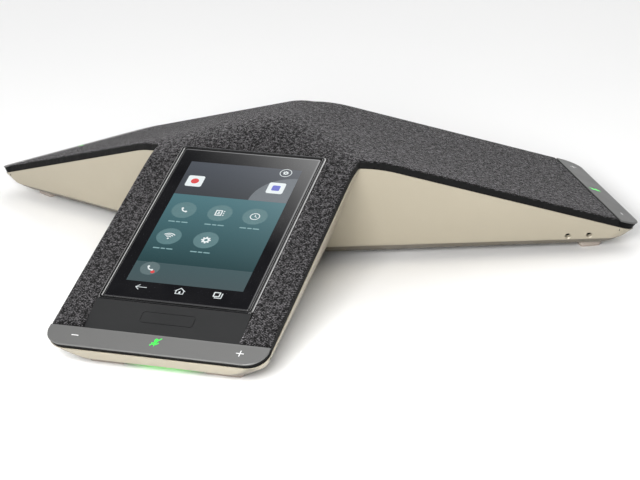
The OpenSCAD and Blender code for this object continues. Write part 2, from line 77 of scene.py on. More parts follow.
# The tops of the legs fall away from where they would meet, and are blended there
SLOPE = 0.336
APEX_Z = 80.9
SLOPE_ANGLE = math.atan(SLOPE)
BLEND = 31.5

# Height of the band that the fabric turns down over the edge, which carries painted shade, and the plan's
# corner radii
BAND = 4.3
TIP_RADIUS = 10.5
VALLEY_RADIUS = 2.2

# Side and end walls of the base lean in as they go down, and a flatter skirt ends them below
FLANK_LEAN = 0.4
END_LEAN = 0.94
SKIRT_HALF = 20
SKIRT_SPREAD = 0.152
SKIRT_LEAN = 1.55
RIM_Z = APEX_Z - BAND
BAR_EDGE = 0.8
END_FOOT = LEG_LEN - END_LEAN * (APEX_Z - BAR_EDGE - SLOPE * LEG_LEN)
WALL = 2.4
FLOOR_Z = BASE_Z + 2.5

# Screen, along the front leg's slope
FRAME_START = 39.2
FRAME_LEN = 129.2
FRAME_HALF = 40.85
FRAME_RISE = 1.0
GLASS_TOP = 0.8

# Holes in the base: microphones in a side wall, case screws, label recess, and the sockets' bay
# between the rear legs, cut partly into a solid block. Block, bay and label are placed from the hub axis
MIC_U = 151.8
MIC_Z = 11.8
MIC_PITCH = 11.9
SCREW_U = 150
SCREW_V = 25
LABEL_START = -26
LABEL_END = 14
LABEL_HALF = 13
BLOCK_HALF = 31.5
BLOCK_START = 8
BLOCK_END = 38
BLOCK_TOP = 28
BAY_HALF = 28.6
BAY_START = BLOCK_END - 5
BAY_END = 96
BAY_LOW = 8.5
BAY_HIGH = 25.5
FIT = 0.1

# ---------- placements


def on_leg(turn):
    """Takes (u, v, z) in a leg's frame to the part's frame in metres."""
    c, s = math.cos(math.radians(turn)), math.sin(math.radians(turn))
    return lambda u, v, z: (MM * (c * u - s * v), MM * (HUB_Y + s * u + c * v), MM * z)


def on_top(turn):
    """Takes (u, v, height above the leg's top plane) to the part's frame in metres."""
    leg = on_leg(turn)
    return lambda u, v, w: leg(u, v, APEX_Z - SLOPE * u + w)


def on_slope(down, v, out):
    """Takes (distance down the front leg's slope, v, distance out of it) to the part's frame in metres."""
    c, s = math.cos(SLOPE_ANGLE), math.sin(SLOPE_ANGLE)
    return on_leg(LEGS["front"])(c * down + s * out, v, APEX_Z - s * down + c * out)


def top_z(x, y):
    """Height of the blended top over a point (x, y) measured from the hub axis."""
    reach = np.stack([x * math.cos(math.radians(t)) + y * math.sin(math.radians(t))
                      for t in LEGS.values()])
    order = -np.sort(-reach / BLEND, axis=0)
    total = np.cumsum(order, axis=0) - 1
    count = np.where(order[2] > total[2] / 3, 3, np.where(order[1] > total[1] / 2, 2, 1))
    level = np.take_along_axis(total, (count - 1)[None], axis=0)[0] / count
    share = np.maximum(reach / BLEND - level, 0)
    furthest = (share * reach).sum(0) + BLEND / 2 * (1 - (share ** 2).sum(0))
    return APEX_Z - SLOPE * furthest


def top_z_uv(u, v):
    """top_z for a point in any leg's frame: the three legs are alike."""
    c, s = math.cos(math.radians(LEGS["right"])), math.sin(math.radians(LEGS["right"]))
    return top_z(c * np.asarray(u) - s * np.asarray(v), s * np.asarray(u) + c * np.asarray(v))


# ---------- mesh building


def add_object(name, data):
    made = bpy.data.objects.new(name, data)
    bpy.context.scene.collection.objects.link(made)
    return made


def finish_mesh(bm, name, material, sharp=35, replaced=()):
    """Turns bm into a smooth-shaded piece that rides on the housing, sharp above some angle."""
    bmesh.ops.remove_doubles(bm, verts=bm.verts, dist=1e-7)
    bmesh.ops.recalc_face_normals(bm, faces=bm.faces)
    mesh = bpy.data.meshes.new(name)
    bm.to_mesh(mesh)
    bm.free()
    piece = add_object(name, mesh)
    mesh.polygons.foreach_set("use_smooth", [True] * len(mesh.polygons))
    mesh.set_sharp_from_angle(angle=math.radians(sharp))
    mesh.materials.append(material)
    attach(piece, "housing")
    if replaced:
        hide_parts(*replaced)
    return piece


def loft(bm, rings, capped=True, around=False):
    """Joins closed rings of points with quads. around=True joins the last ring to the first."""
    rows = [[bm.verts.new(p) for p in ring] for ring in rings]
    pairs = list(zip(rows, rows[1:])) + ([(rows[-1], rows[0])] if around else [])
    for low, high in pairs:
        for i in range(len(low)):
            j = (i + 1) % len(low)
            bm.faces.new((low[i], low[j], high[j], high[i]))
    if capped and not around:
        bm.faces.new(rows[0])
        bm.faces.new(rows[-1])


def inset(loop, distance):
    """A closed outline moved inwards along its corners' mean normals."""
    points = np.array(loop, float)
    area = np.sum(points[:, 0] * np.roll(points[:, 1], -1) - np.roll(points[:, 0], -1) * points[:, 1])
    before, after = points - np.roll(points, 1, 0), np.roll(points, -1, 0) - points
    before /= np.linalg.norm(before, axis=1)[:, None]
    after /= np.linalg.norm(after, axis=1)[:, None]
    normal = np.stack([-(before + after)[:, 1], (before + after)[:, 0]], 1)
    normal /= np.linalg.norm(normal, axis=1)[:, None]
    stretch = 1 / np.maximum(np.abs((normal * np.stack([-before[:, 1], before[:, 0]], 1)).sum(1)), 0.3)
    return points + normal * (distance * stretch * np.sign(area))[:, None]


def stack(bm, outline, profile, place, around=False):
    """Lofts an outline through a profile of (inset, height) pairs."""
    loft(bm, [[place(x, y, h) for x, y in inset(outline, d)] for d, h in profile], around=around)


def arc(cx, cy, r, start, end, steps):
    """Points on an arc, angles in degrees."""
    return [(cx + r * math.cos(math.radians(start + (end - start) * i / steps)),
             cy + r * math.sin(math.radians(start + (end - start) * i / steps)))
            for i in range(steps + 1)]


def rect(x0, x1, y0, y1):
    return [(x0, y0), (x1, y0), (x1, y1), (x0, y1)]


def rounded_rect(x0, x1, half, r, steps=8):
    """Outline of a rectangle from x0 to x1, half to each side, with round corners."""
    corners = ((x1 - r, half - r, 0), (x0 + r, half - r, 90),
               (x0 + r, r - half, 180), (x1 - r, r - half, 270))
    return [p for cx, cy, a in corners for p in arc(cx, cy, r, a, a + 90, steps)]


def slab(bm, shapes, place, low, high):
    """Closed flat plates. Each shape is a list of outlines: the first its edge, the rest its holes."""
    for loops in shapes:
        sides = []
        for height in (low, high):
            rows = [[bm.verts.new(place(x, y, height)) for x, y in loop] for loop in loops]
            edges = [bm.edges.new((row[i - 1], row[i])) for row in rows for i in range(len(row))]
            bmesh.ops.triangle_fill(bm, use_beauty=True, edges=edges)
            sides.append(rows)
        for below, above in zip(*sides):
            for i in range(len(below)):
                bm.faces.new((below[i - 1], below[i], above[i], above[i - 1]))


# ---------- materials


class Shader:
    """A node material under construction, with short calls for the nodes used most."""

    def __init__(self, name, **settings):
        self.material = bpy.data.materials.new(name)
        self.material.use_nodes = True
        self.tree = self.material.node_tree
        self.surface = self.tree.nodes["Principled BSDF"]
        for key, value in settings.items():
            self.put(key.replace("_", " "), value)

    def set(self, node, key, value):
        socket = node.inputs[key]
        if hasattr(value, "is_output"):
            self.tree.links.new(value, socket)
        elif hasattr(socket.default_value, "__len__") and len(socket.default_value) == 4:
            socket.default_value = (*value, 1) if len(value) == 3 else value
        else:
            socket.default_value = value

    def put(self, key, value):
        self.set(self.surface, key, value)

    def node(self, kind, inputs=None, **properties):
        made = self.tree.nodes.new(kind)
        for key, value in properties.items():
            setattr(made, key, value)
        for key, value in (inputs or {}).items():
            self.set(made, key, value)
        return made

    def coordinates(self, scale=(1, 1, 1), turn=0, kind="Object"):
        source = self.node("ShaderNodeTexCoord").outputs[kind]
        return self.node("ShaderNodeMapping", {"Vector": source, "Scale": scale,
                                               "Rotation": (0, 0, turn)}).outputs[0]

    def noise(self, scale, detail=3, roughness=0.5, vector=None):
        vector = vector or self.coordinates()
        return self.node("ShaderNodeTexNoise", {"Vector": vector, "Scale": scale,
                                                "Detail": detail, "Roughness": roughness}).outputs[0]

    def ramp(self, factor, *stops):
        made = self.node("ShaderNodeValToRGB", {"Fac": factor})
        elements = made.color_ramp.elements
        while len(elements) < len(stops):
            elements.new(0.5)
        for element, (place, colour) in zip(elements, stops):
            element.position = place
            element.color = (*colour, 1)
        return made.outputs[0]

    def level(self, factor, low, high, start=0.0, end=1.0):
        """Maps a value from start..end to low..high."""
        return self.node("ShaderNodeMapRange", {"Value": factor, "From Min": start, "From Max": end,
                                                "To Min": low, "To Max": high}).outputs[0]

    def split(self, vector):
        """The three parts of a vector."""
        return self.node("ShaderNodeSeparateXYZ", {"Vector": vector}).outputs

    def math(self, operation, a, b=0.0):
        made = self.node("ShaderNodeMath", operation=operation)
        self.set(made, 0, a)
        self.set(made, 1, b)
        return made.outputs[0]

    def mix(self, factor, a, b):
        made = self.node("ShaderNodeMix", data_type="RGBA")
        self.set(made, 0, factor)
        self.set(made, 6, a)
        self.set(made, 7, b)
        return made.outputs[2]

    def weigh(self, start, *terms):
        """start plus each value times its weight."""
        total = start
        for value, weight in terms:
            total = self.math("ADD", total, self.math("MULTIPLY", value, weight))
        return total

    def mottle(self, noise, low, high):
        """Colour that wanders between two tones with a noise."""
        self.put("Base Color", self.ramp(noise, (0.3, low), (0.7, high)))

    def gloss(self, noise, low, high):
        """Roughness that wanders between two values with a noise."""
        self.put("Roughness", self.level(noise, low, high, 0.3, 0.7))

    def bump(self, height, strength, distance):
        made = self.node("ShaderNodeBump", {"Height": height, "Strength": strength,
                                            "Distance": distance})
        self.put("Normal", made.outputs[0])


def tint(colour, factor):
    return tuple(min(1, c * factor) for c in colour)


def moulded(name, colour, roughness=0.45, grain=900, depth=0.00004, vary=0.08, **settings):
    """Moulded or painted surface: fine grain, slight mottling of colour and gloss."""
    s = Shader(name, **settings)
    s.mottle(s.noise(14, 4, 0.6), tint(colour, 1 - vary), tint(colour, 1 + vary))
    s.gloss(s.noise(60, 3), roughness - 0.05, roughness + 0.05)
    s.bump(s.noise(grain, 2, 0.6), 0.35, depth)
    return s.material


def champagne():
    """Fine-grained champagne plastic, with painted shade on the skirt that faces the table."""
    s = Shader("champagne_plastic", Metallic=0.12)
    wall = s.ramp(s.noise(14, 4, 0.6), (0.3, (0.352, 0.316, 0.243)), (0.7, (0.366, 0.329, 0.254)))
    # Painted shade: the colour darkens towards a dark olive where the surface faces down, on the skirt.
    facing = s.node("ShaderNodeNewGeometry").outputs["Normal"]
    down = s.split(facing)[2]
    shade_starts_down, shade_full_down = -0.74, -0.82
    skirt = s.level(down, 0.0, 1.0, shade_starts_down, shade_full_down)
    s.put("Base Color", s.mix(skirt, wall, (0.13, 0.11, 0.075)))
    s.gloss(s.noise(60, 3), 0.37, 0.47)
    s.bump(s.noise(900, 2, 0.6), 0.35, 0.00004)
    return s.material


def metal(name, colour, roughness=0.3, brushed=(40, 900, 900)):
    """Brushed or rolled metal: fine streaks along one way."""
    s = Shader(name, Metallic=1.0)
    streaks = s.noise(1, 3, 0.7, s.coordinates(brushed))
    s.mottle(streaks, tint(colour, 0.85), tint(colour, 1.1))
    s.gloss(streaks, roughness - 0.08, roughness + 0.1)
    s.bump(streaks, 0.25, 0.00003)
    return s.material


def rubber(name, colour, roughness=0.75):
    """Dull rubber with dust on it."""
    s = Shader(name)
    dust = s.noise(25, 5, 0.7)
    s.put("Base Color", s.ramp(dust, (0.35, tint(colour, 0.88)), (0.75, tint(colour, 1.15))))
    s.gloss(dust, roughness - 0.06, roughness + 0.08)
    s.bump(s.noise(700, 3), 0.5, 0.00006)
    return s.material


def circuit(name):
    """Green solder mask over faint copper tracks, with a fine gloss."""
    s = Shader(name, Roughness=0.32)
    colours = {"Color1": (0.010, 0.075, 0.035), "Color2": (0.008, 0.055, 0.028), "Mortar": (0.03, 0.14, 0.06)}
    tracks = s.node("ShaderNodeTexBrick", {"Vector": s.coordinates((220, 220, 220)), "Scale": 1.0,
                                           "Mortar Size": 0.05, **colours}).outputs[0]
    haze = s.level(s.noise(90, 2), 0.0, 0.5)
    s.put("Base Color", s.mix(haze, tracks, (0.006, 0.05, 0.024)))
    s.bump(s.noise(300, 3), 0.3, 0.00003)
    return s.material


def knit():
    """Charcoal weave: diagonal ribs of mixed dark and pale yarns, on UVs in metres, with painted shade on the
    band turned down over the edge.
    """
    s = Shader("cover_fabric", Roughness=0.95)
    s.put("Sheen Roughness", 0.4)
    s.put("Sheen Tint", (0.50, 0.485, 0.50))
    s.put("Specular IOR Level", 0.15)
    rib_pitch, stitch_pitch = 0.00098, 0.00062
    slant = math.radians(45)
    across = s.split(s.coordinates(turn=slant, kind="UV"))[0]
    rib = s.math("SINE", s.math("MULTIPLY", across, 2 * math.pi / rib_pitch))
    cells = s.coordinates((1 / stitch_pitch, 1 / stitch_pitch, 1), slant, "UV")
    stitch = s.node("ShaderNodeTexVoronoi", {"Vector": cells, "Scale": 1.0, "Randomness": 0.6})
    pick = s.split(stitch.outputs["Color"])[0]
    flat = s.coordinates(kind="UV")
    yarn = s.noise(2400, 2, 0.6, flat)
    patch = s.noise(430, 2, 0.5, flat)
    tone = s.weigh(-0.25, (pick, 0.42), (yarn, 0.25), (patch, 0.75), (rib, 0.16))
    colour = s.ramp(tone, (0.32, (0.001, 0.001, 0.001)), (0.50, (0.005, 0.0048, 0.005)),
                    (0.72, (0.088, 0.084, 0.088)))
    # Painted shade: where the cover turns down over the edge it goes near black and loses its sheen.
    hem = s.node("ShaderNodeAttribute", attribute_name="hem").outputs["Fac"]
    s.put("Base Color", s.mix(hem, colour, (0.006, 0.006, 0.006)))
    fluff = s.level(tone, 0.08, 0.60, 0.40, 0.62)
    s.put("Sheen Weight", s.math("MULTIPLY", fluff, s.level(hem, 1.0, 0.12)))
    s.bump(s.math("SUBTRACT", s.math("MULTIPLY", rib, 0.4), stitch.outputs["Distance"]), 0.8, 0.00020)
    return s.material


def frame_metal_painted_highlight():
    """Dark frame metal with a painted highlight: its long edges and upper edge are coloured bright."""
    s = Shader("frame_metal", Metallic=1.0)
    facing = s.node("ShaderNodeNewGeometry").outputs["Normal"]
    x, y = s.split(facing)[:2]
    upper = s.math("ADD", y, math.sin(SLOPE_ANGLE))
    # Painted highlight: the colour brightens where the surface faces sideways or up the slope.
    edge = s.weigh(0.0, (s.math("ABSOLUTE", x), 1.6), (upper, 0.7))
    s.put("Base Color", s.ramp(edge, (0.12, (0.03, 0.03, 0.031)), (0.6, (0.34, 0.34, 0.335)),
                                          (1.0, (0.75, 0.75, 0.74))))
    s.gloss(s.noise(80, 3), 0.2, 0.3)
    s.bump(s.noise(2200, 2, 0.6), 0.3, 0.00001)
    return s.material


def black_glass():
    """Glossy black glass with faint smears."""
    s = Shader("black_glass", Roughness=0.04)
    smear = s.noise(35, 4, 0.6)
    s.mottle(smear, (0.004, 0.004, 0.005), (0.007, 0.007, 0.008))
    s.put("Roughness", s.level(smear, 0.03, 0.09, 0.3, 0.75))
    s.put("IOR", 1.75)
    s.bump(s.noise(8, 1), 0.02, 0.0002)
    return s.material


def glowing(name, colour, strength, base=(0.02, 0.02, 0.02), roughness=0.25):
    """A lit sign or screen area: its glow varies a little, and its face is glossy."""
    s = Shader(name, Roughness=roughness)
    s.put("Base Color", base)
    s.put("Emission Color", s.ramp(s.noise(400, 2), (0.2, tint(colour, 0.9)), (0.8, colour)))
    s.put("Emission Strength", strength)
    return s.material


def screen_shade(name, high, low, s0, s1):
    """Glow that changes down the screen, from one distance down its slope to another."""
    s = Shader(name, Roughness=0.12)
    s.put("Base Color", (0.01, 0.01, 0.01))
    z = s.split(s.coordinates())[2]
    down = s.level(z, 0, 1, on_slope(s0, 0, 0)[2], on_slope(s1, 0, 0)[2])
    s.put("Emission Color", s.ramp(down, (0.0, high), (1.0, low)))
    s.put("Emission Strength", 1.0)
    return s.material


def light_strip():
    """Green light guide that fades towards its ends."""
    s = Shader("light_strip", Roughness=0.35)
    s.mottle(s.noise(300, 2), (0.16, 0.20, 0.12), (0.2, 0.25, 0.16))
    x, y = s.split(s.coordinates())[:2]
    y = s.math("SUBTRACT", y, HUB_Y * MM)
    bright_half, inner_end = 0.006, 0.1
    reach = 0.0
    for turn in LEGS.values():
        c, n = math.cos(math.radians(turn)), math.sin(math.radians(turn))
        along = s.weigh(0.0, (x, c), (y, n))
        across = s.math("ABSOLUTE", s.weigh(0.0, (y, c), (x, -n)))
        on_this_leg = s.math("GREATER_THAN", along, inner_end)
        fade = s.level(across, 1, 0, bright_half, GLOW_HALF * MM)
        reach = s.math("MAXIMUM", reach, s.math("MULTIPLY", on_this_leg, fade))
    s.put("Emission Color", (0.12, 0.80, 0.10))
    s.put("Emission Strength", s.math("MULTIPLY", reach, 0.9))
    return s.material


# ---------- plan outlines


class Outline:
    """Half of a leg's plan outline, from the valley beside it out to the middle of its end."""

    COUNTS = {"valley": 8, "flank": 60, "tip": 14, "end": 16}

    def __init__(self, points, normals):
        self.points = np.array(points, float)
        self.normals = np.array(normals, float)

    @classmethod
    def build(cls, foot, tilt, end, valley_r, tip_r):
        """foot and tilt give the side line v = foot + tilt * u; end is where the leg stops."""
        side = math.degrees(math.atan2(1, -tilt))
        ray = math.radians(60)
        meet = foot / (math.sin(ray) - tilt * math.cos(ray))
        centre = meet + valley_r / math.sin(ray - math.atan(tilt))
        tx = end - tip_r
        ty = foot + tilt * tx - tip_r * math.hypot(1, tilt)
        n = cls.COUNTS
        valley = arc(centre * math.cos(ray), centre * math.sin(ray), valley_r, 240, 180 + side, n["valley"])
        tip = arc(tx, ty, tip_r, side, 0, n["tip"])
        share = np.linspace(0, 1, n["flank"] + 1)[1:-1, None]
        flank = np.array(valley[-1]) * (1 - share) + np.array(tip[0]) * share
        down = [(end, ty * (1 - i / n["end"])) for i in range(1, n["end"] + 1)]
        points = valley + [tuple(p) for p in flank] + tip + down
        turn = [np.radians(60 + (side - 60) * i / n["valley"]) for i in range(n["valley"] + 1)]
        turn += [math.radians(side)] * (n["flank"] - 1)
        turn += [math.radians(side * (1 - i / n["tip"])) for i in range(n["tip"] + 1)]
        turn += [0.0] * n["end"]
        return cls(points, [(math.cos(t), math.sin(t)) for t in turn])

    def inwards(self, distance):
        return self.points - self.normals * distance


def all_round(half):
    """A half leg's stations repeated into the whole ring of the phone, counter-clockwise."""
    ring = []
    for turn in LEGS.values():
        place = on_leg(turn)
        for (u, v), z in half:
            ring.append(place(u, -v, z))
        for (u, v), z in half[-2:0:-1]:
            ring.append(place(u, v, z))
    return ring


# ---------- base shell


def bezier(a, b, c, steps):
    """Rings from a to c, bent towards b."""
    t = np.linspace(0, 1, steps + 1)[:, None, None]
    return list((1 - t) ** 2 * a + 2 * t * (1 - t) * b + t ** 2 * c)


def skirt_top(u):
    """Height of the edge where the side walls turn into the skirt."""
    foot = LEG_HALF - FLANK_LEAN * RIM_Z
    skirt = SKIRT_HALF - SKIRT_LEAN * BASE_Z
    along = FLANK_LEAN * SLOPE - SKIRT_SPREAD
    return (foot - skirt + along * u) / (SKIRT_LEAN - FLANK_LEAN)


def end_at_drop(drop):
    """How far out the leaning end of a leg is where the top plane lies a height above it."""
    return (END_FOOT + END_LEAN * (APEX_Z - drop)) / (1 + END_LEAN * SLOPE)


# The rim between the base's inner and outer wall, as (inset, drop) from the fabric's lower edge
RIM_PROFILE = [(WALL, 1.2), (0.62, 0.35), (0.5, 0.02), (0.16, 0), (0, 0.16)]


def at_height(points, z):
    """Plan points at one height, or each at its own."""
    return np.column_stack([points, np.broadcast_to(z, len(points))])


def base_rings():
    """Rings of the base's shell: inner floor, inner wall, rim, side wall, skirt, underside."""
    rim = Outline.build(LEG_HALF, 0.0, end_at_drop(BAND), VALLEY_RADIUS, TIP_RADIUS)
    rim_z = top_z_uv(rim.points[:, 0], rim.points[:, 1]) - BAND

    # the knee lies in the side wall: v = LEG_HALF - FLANK_LEAN * (RIM_Z - SLOPE * u - z)
    start, far = skirt_top(0), skirt_top(LEG_LEN)
    fall = (far - start) / LEG_LEN
    tilt = FLANK_LEAN * (SLOPE + fall)
    edge = Outline.build(LEG_HALF - FLANK_LEAN * (RIM_Z - start), tilt, END_FOOT + END_LEAN * far, 2.6, 11.4)
    edge_z = start + fall * edge.points[:, 0]
    under = Outline.build(SKIRT_HALF, SKIRT_SPREAD, END_FOOT + END_LEAN * BASE_Z, 3, 10.2)

    rows = [at_height(under.inwards(WALL), FLOOR_Z), at_height(edge.inwards(WALL), edge_z + 0.6)]
    rows += [at_height(rim.inwards(distance), rim_z - drop) for distance, drop in RIM_PROFILE]
    top, knee, foot = rows[-1], at_height(edge.points, edge_z), at_height(under.points, BASE_Z)
    flat = at_height(under.inwards(2.5), BASE_Z)
    rows += [top + (knee - top) * t for t in (0.15, 0.3, 0.45, 0.6, 0.75, 0.88)]
    rows += bezier(knee + (top - knee) * 0.025, knee, knee + (foot - knee) * 0.09, 3)
    rows += bezier(knee + (foot - knee) * 0.8, foot, flat, 4)
    return rows


def carve(piece, bm, operation="DIFFERENCE"):
    """Applies a boolean with the closed meshes in bm."""
    bmesh.ops.recalc_face_normals(bm, faces=bm.faces)
    tool = add_object("cutter", bpy.data.meshes.new("cutter"))
    bm.to_mesh(tool.data)
    bm.free()
    modifier = piece.modifiers.new("carve", "BOOLEAN")
    modifier.operation = operation
    modifier.object = tool
    modifier.solver = "EXACT"
    bpy.context.view_layer.update()
    evaluated = piece.evaluated_get(bpy.context.evaluated_depsgraph_get())
    mesh = bpy.data.meshes.new_from_object(evaluated)
    piece.modifiers.clear()
    piece.data = mesh
    bpy.data.objects.remove(tool)


def turned(bm, profile, place):
    """A turned solid: profile is a list of (radius, distance along the axis)."""
    steps = 28
    angles = [2 * math.pi * i / steps for i in range(steps)]
    loft(bm, [[place(r * math.cos(a), r * math.sin(a), h) for a in angles] for r, h in profile])


def flank_frame(turn, along):
    """Frame on the clockwise wall of a leg at a microphone hole, z out of the wall."""
    leg = on_leg(turn)
    v = -(LEG_HALF - FLANK_LEAN * (RIM_Z - SLOPE * MIC_U - MIC_Z))
    out = Vector((-FLANK_LEAN * SLOPE, -1, -FLANK_LEAN)).normalized()
    basis = Matrix.Rotation(math.atan2(out.y, out.x), 3, "Z") @ Matrix.Rotation(math.acos(out.z), 3, "Y")
    origin = Vector((MIC_U, v, MIC_Z)) + basis @ Vector((0, along, 0))
    return lambda x, y, n: leg(*(origin + basis @ Vector((x, y, n))))


def block(bm, half, y_range, z_range):
    """A box centred on x = 0, with y from the hub axis."""
    y0, y1 = (MM * (HUB_Y + y) for y in y_range)
    loft(bm, [[(x, y, z * MM) for x, y in rect(-half * MM, half * MM, y0, y1)] for z in z_range])


def star_cap(bm, ring):
    """Closes a flat ring made by all_round with strips across each leg."""
    count = len(ring) // 3
    ends = count // 2 - Outline.COUNTS["end"]
    for first in range(0, len(ring), count):
        one = [ring[first + i] for i in range(ends + 1)]
        other = [ring[(first + count - i) % len(ring)] for i in range(ends + 1)]
        for i in range(ends - 1):
            bm.faces.new((one[i], other[i], other[i + 1], one[i + 1]))
        bm.faces.new(ring[first + ends - 1:first + count - ends + 2])
    bm.faces.new(ring[::count])


def base_holes():
    """All that is cut from the base: socket bay, microphones, screws, feet and label recess."""
    bm = bmesh.new()
    block(bm, BAY_HALF, (BAY_START, BAY_END), (BAY_LOW, BAY_HIGH))
    mic_hole = [(1.5, -6), (1.5, -0.45), (1.95, 0.02), (1.95, 2)]
    head, shank = 3.3, 1.7
    screw_well = [(head, -1), (head, BASE_Z + 4), (shank, BASE_Z + 4.01), (shank, 30)]
    foot = rounded_rect(FOOT_IN - FIT, FOOT_OUT + FIT, FOOT_HALF + FIT, 2.5)
    for turn in LEGS.values():
        leg = on_leg(turn)
        for i in (0, 1):
            turned(bm, mic_hole, flank_frame(turn, i * MIC_PITCH))
        for side in (-1, 1):
            turned(bm, screw_well, lambda x, y, z, s=side: leg(SCREW_U + x, s * SCREW_V + y, z))
        stack(bm, foot, [(0, 0), (0, BASE_Z + 1)], leg)
    label = rounded_rect(LABEL_START, LABEL_END, LABEL_HALF, 3)
    stack(bm, label, [(0, BASE_Z - 1), (0, BASE_Z + 0.5)], on_leg(90))
    return bm


def build_base(material):
    bm = bmesh.new()
    rings = [all_round([(p[:2], p[2]) for p in row]) for row in base_rings()]
    loft(bm, rings, capped=False)
    bm.verts.ensure_lookup_table()
    star_cap(bm, bm.verts[:len(rings[0])])
    star_cap(bm, bm.verts[-len(rings[0]):])
    piece = finish_mesh(bm, "base_housing", material, replaced=["base_shell"])

    bm = bmesh.new()
    block(bm, BLOCK_HALF, (BLOCK_START, BLOCK_END), (BASE_Z + 0.02, BLOCK_TOP))
    carve(piece, bm, "UNION")
    carve(piece, base_holes())
    mesh = piece.data
    mesh.polygons.foreach_set("use_smooth", [True] * len(mesh.polygons))
    mesh.set_sharp_from_angle(angle=math.radians(24))


# ---------- fabric cover

EDGE_RADIUS = 1.2
FABRIC_HALF = LEG_HALF - 0.25
FABRIC_END = BAR_START - 0.35
OPEN_HALF = FRAME_HALF + 0.3
OPEN_TOP = (FRAME_START - 0.35) * math.cos(SLOPE_ANGLE)
OPEN_CORNER = 2.6
HUB_END = OPEN_TOP + OPEN_CORNER
SIDE_COLUMNS = 7

# Columns of the rolled edge and the band below it, as (way out, fall, cloth used by then)
QUARTER = EDGE_RADIUS * math.pi / 2
ROLL = [(EDGE_RADIUS * math.sin(a), EDGE_RADIUS * (1 - math.cos(a)), EDGE_RADIUS * a)
        for a in np.radians([15, 30, 45, 60, 75, 90])]
ROLL += [(EDGE_RADIUS - 0.12, BAND - 0.1, QUARTER + 0.6), (EDGE_RADIUS - 0.45, BAND + 0.25, QUARTER + 1.0),
         (EDGE_RADIUS - 1.0, BAND + 0.2, QUARTER + 1.6)]


class Cloth:
    """Gathers the cover's rows of points, and joins them with quads that carry UVs in metres."""

    def __init__(self):
        self.bm = bmesh.new()
        self.uv = self.bm.loops.layers.uv.new("cloth")

    def grid(self, points, uvs, place):
        """points is rows x columns x (u, v, z); uvs the same without z."""
        rows = [[self.bm.verts.new(place(*p)) for p in row] for row in points]
        flat = [[place(*q, 0) for q in row] for row in uvs]
        for i in range(len(rows) - 1):
            for j in range(len(rows[0]) - 1):
                corners = ((i, j), (i + 1, j), (i + 1, j + 1), (i, j + 1))
                face = self.bm.faces.new([rows[a][b] for a, b in corners])
                for loop, (a, b) in zip(face.loops, corners):
                    loop[self.uv].uv = flat[a][b][:2]


def valley_bend():
    """Plan points and normals of the cover's edge, from the valley to the end of the hub."""
    outer = Outline.build(FABRIC_HALF, 0.0, LEG_LEN + 20, VALLEY_RADIUS + 0.5, 12)
    count = Outline.COUNTS["valley"] + 1
    start = outer.points[count - 1][0]
    side = [(start + (HUB_END - start) * i / 3, FABRIC_HALF) for i in (1, 2, 3)]
    return np.concatenate([outer.points[:count], side]), np.concatenate([outer.normals[:count], [(0, 1)] * 3])


def brim_points():
    """Upper edge of the screen's opening, from the middle of the leg on to the leg's side."""
    across = OPEN_HALF - OPEN_CORNER
    brim = [(OPEN_TOP, v) for v in np.linspace(0, across, 19)]
    brim += [(HUB_END + OPEN_CORNER * math.sin(a), across + OPEN_CORNER * math.cos(a))
             for a in np.radians([-72, -54, -36, -18, 0])]
    brim += [(HUB_END, v) for v in np.linspace(OPEN_HALF, FABRIC_HALF - EDGE_RADIUS, SIDE_COLUMNS + 1)[1:]]
    return np.array(brim)


def leg_rows():
    """How far out each row beyond the hub is and how far it falls. The last four roll down."""
    roll = np.array([(0.7, 0.08), (0.25, 0.35), (0, 0.9), (0, 2.0)])
    flat = np.linspace(HUB_END, FABRIC_END - 1.2, 72)[1:]
    return np.concatenate([flat, FABRIC_END - roll[:, 0]]), np.concatenate([0 * flat, roll[:, 1]])


def transfinite(bottom, top, left, right):
    """A patch of points between four edges that share their corners."""
    s = np.linspace(0, 1, len(left))[:, None, None]
    lengths = np.linalg.norm(np.diff(bottom, axis=0), axis=1)
    t = np.concatenate([[0], np.cumsum(lengths) / lengths.sum()])[None, :, None]
    bottom, top = bottom[None], top[None]
    left, right = left[:, None], right[:, None]
    return ((1 - s) * bottom + s * top + (1 - t) * left + t * right
            - (1 - s) * (1 - t) * bottom[:, :1] - (1 - s) * t * bottom[:, -1:]
            - s * (1 - t) * top[:, :1] - s * t * top[:, -1:])


def dress(plan, row_normals, sunk):
    """Adds the rolled edge and the band to rows of plan points, and lifts all to the top."""
    heights = top_z_uv(plan[..., 0], plan[..., 1]) - sunk[:, None]
    columns, maps = [np.concatenate([plan, heights[..., None]], axis=2)], [plan]
    base = plan[:, -1]
    for out, fall, walked in ROLL:
        spot = base + row_normals * out
        z = top_z_uv(spot[:, 0], spot[:, 1]) - fall - sunk
        columns.append(np.column_stack([spot, z])[:, None])
        maps.append((base + row_normals * walked)[:, None])
    return np.concatenate(columns, axis=1), np.concatenate(maps, axis=1)


def screen_lip(cloth, place, brim, far, drop):
    """The cover's edge, turned down round the screen's opening."""
    loop = np.concatenate([brim[:-SIDE_COLUMNS], [(u, OPEN_HALF) for u in far]])
    sunk = np.concatenate([np.zeros(len(brim) - SIDE_COLUMNS), drop])
    tangent = np.gradient(loop, axis=0)
    tangent /= np.maximum(np.linalg.norm(tangent, axis=1), 1e-9)[:, None]
    inwards = np.column_stack([tangent[:, 1], -tangent[:, 0]])
    rows, maps = [], []
    for out, fall in ((0, 0), (0.12, 0.15), (0.2, 0.5), (0.2, 1.6)):
        heights = top_z_uv(loop[:, 0], loop[:, 1]) - fall - sunk
        rows.append(np.column_stack([loop + inwards * out, heights]))
        maps.append(loop + inwards * (out + fall))
    cloth.grid(np.array(rows), np.array(maps), place)


